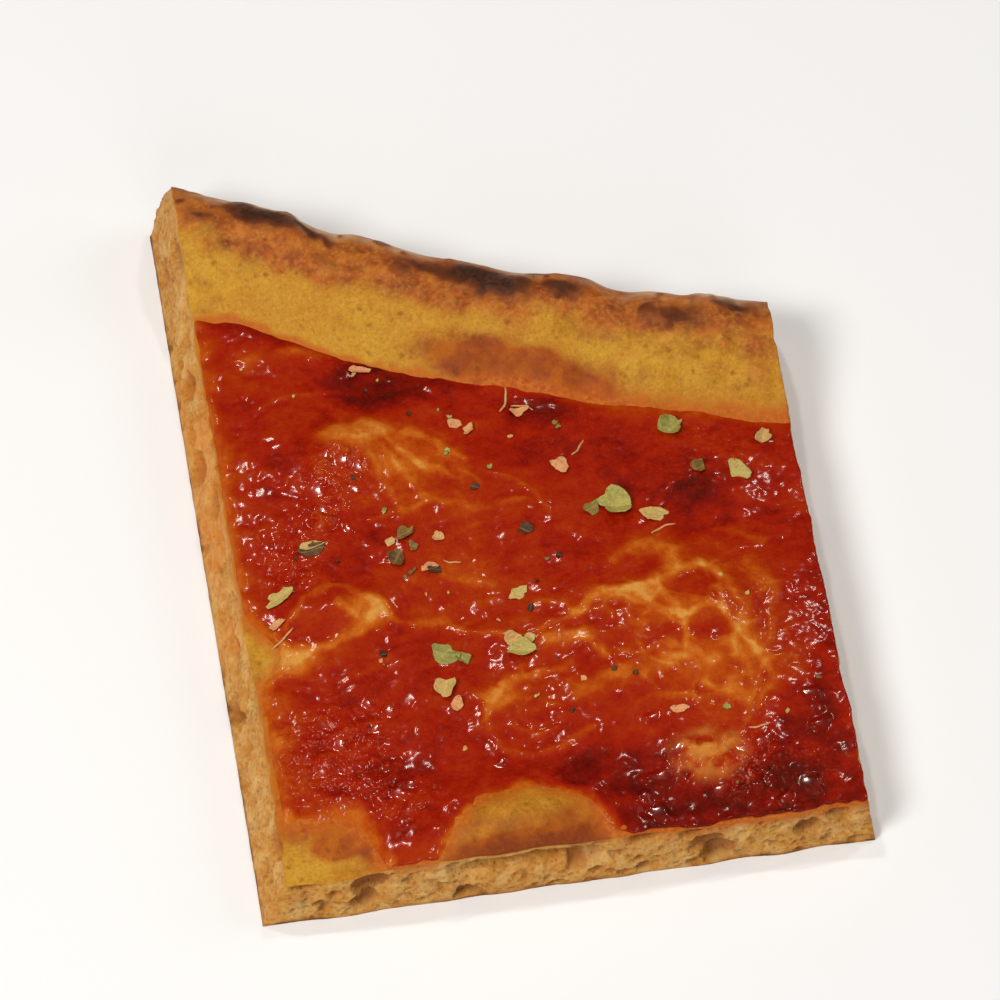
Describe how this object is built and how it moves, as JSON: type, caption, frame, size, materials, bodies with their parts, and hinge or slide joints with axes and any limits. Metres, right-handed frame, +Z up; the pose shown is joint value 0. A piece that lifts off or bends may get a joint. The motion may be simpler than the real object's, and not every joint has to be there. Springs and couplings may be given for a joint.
{
  "type": "marinara pizza slice",
  "caption": "Square-cut slice of flat pan pizza: a bread base with a raised baked rim along one side, thin tomato sauce and oregano leaves on top.",
  "frame": {"origin": "on the underside, below the middle of the slice's box", "axes": "+Y from the front cut towards the rim, +X along the front cut to the right, +Z up through the sauce"},
  "size_m": [0.0966, 0.1284, 0.0169],
  "materials": {
    "baked_dough": "matte baked crust, golden with browner spots",
    "tomato_sauce": "wet, glossy red sauce, orange where it is thin"
  },
  "bodies": {
    "root": {"bread": "baked_dough", "tomato_sauce": "tomato_sauce"}
  },
  "joints": []
}
